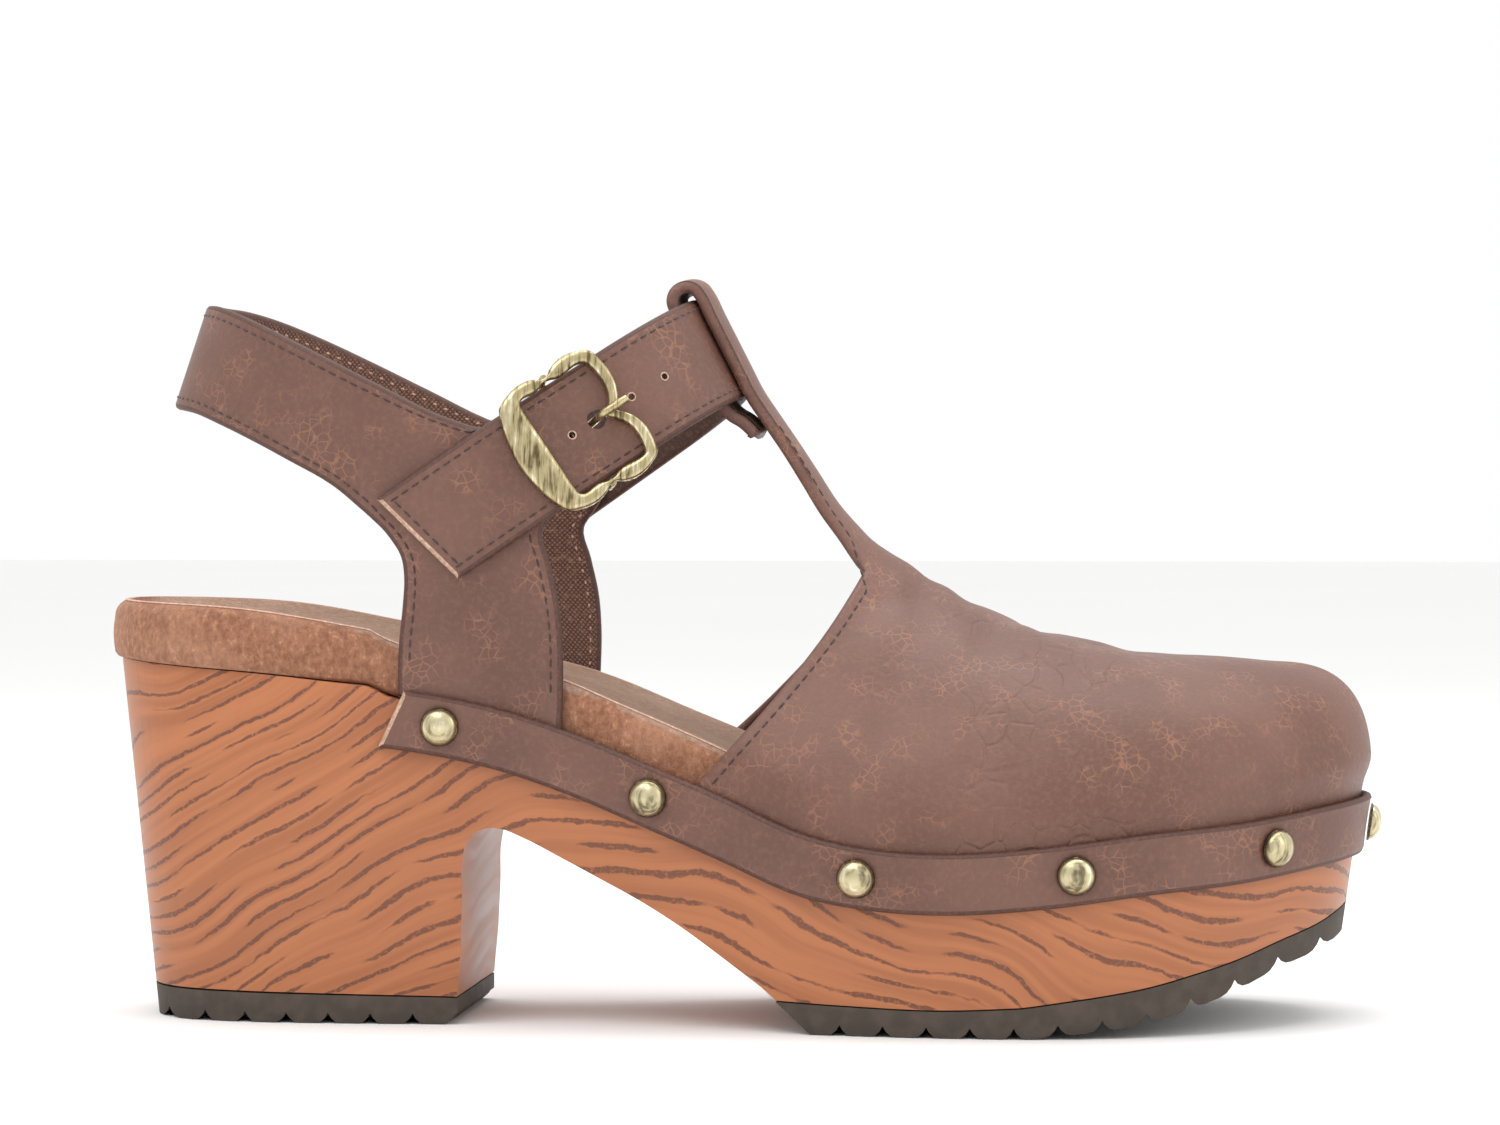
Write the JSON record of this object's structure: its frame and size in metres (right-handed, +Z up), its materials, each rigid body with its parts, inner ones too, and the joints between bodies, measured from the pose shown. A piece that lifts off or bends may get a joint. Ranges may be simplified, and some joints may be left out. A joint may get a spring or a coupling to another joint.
{
  "type": "t-strap platform clog",
  "caption": "Closed-toe platform clog with a T-strap, a buckled ankle strap, a sling back and a block heel.",
  "frame": {"origin": "on the floor in the middle of a flat lug under the heel, on the sole's middle line", "axes": "+X towards the toe along the sole, +Y towards the inner (medial) side of the foot, +Z up"},
  "size_m": [0.26, 0.1019, 0.1505],
  "materials": {
    "brown_leather": "grained, satin, with fine creases",
    "wood_look_platform": "wood look with etched dark grain, satin",
    "taupe_rubber": "matt",
    "tan_suede": "suede nap",
    "antique_brass": "antique, brushed"
  },
  "bodies": {
    "root": {"heel_toplift": "taupe_rubber", "forefoot_outsole": "taupe_rubber", "wood_platform": "wood_look_platform", "rand": "brown_leather", "footbed": "tan_suede", "vamp": "brown_leather", "quarter_sling": "brown_leather", "ankle_strap": "brown_leather", "buckle_frame": "antique_brass", "buckle_prong": "antique_brass", "buckle_tab": "brown_leather", "stud_01": "antique_brass", "stud_02": "antique_brass", "stud_03": "antique_brass", "stud_04": "antique_brass", "stud_05": "antique_brass", "stud_06": "antique_brass", "stud_07": "antique_brass", "stud_08": "antique_brass", "stud_09": "antique_brass", "stud_10": "antique_brass", "stud_11": "antique_brass"}
  },
  "joints": []
}
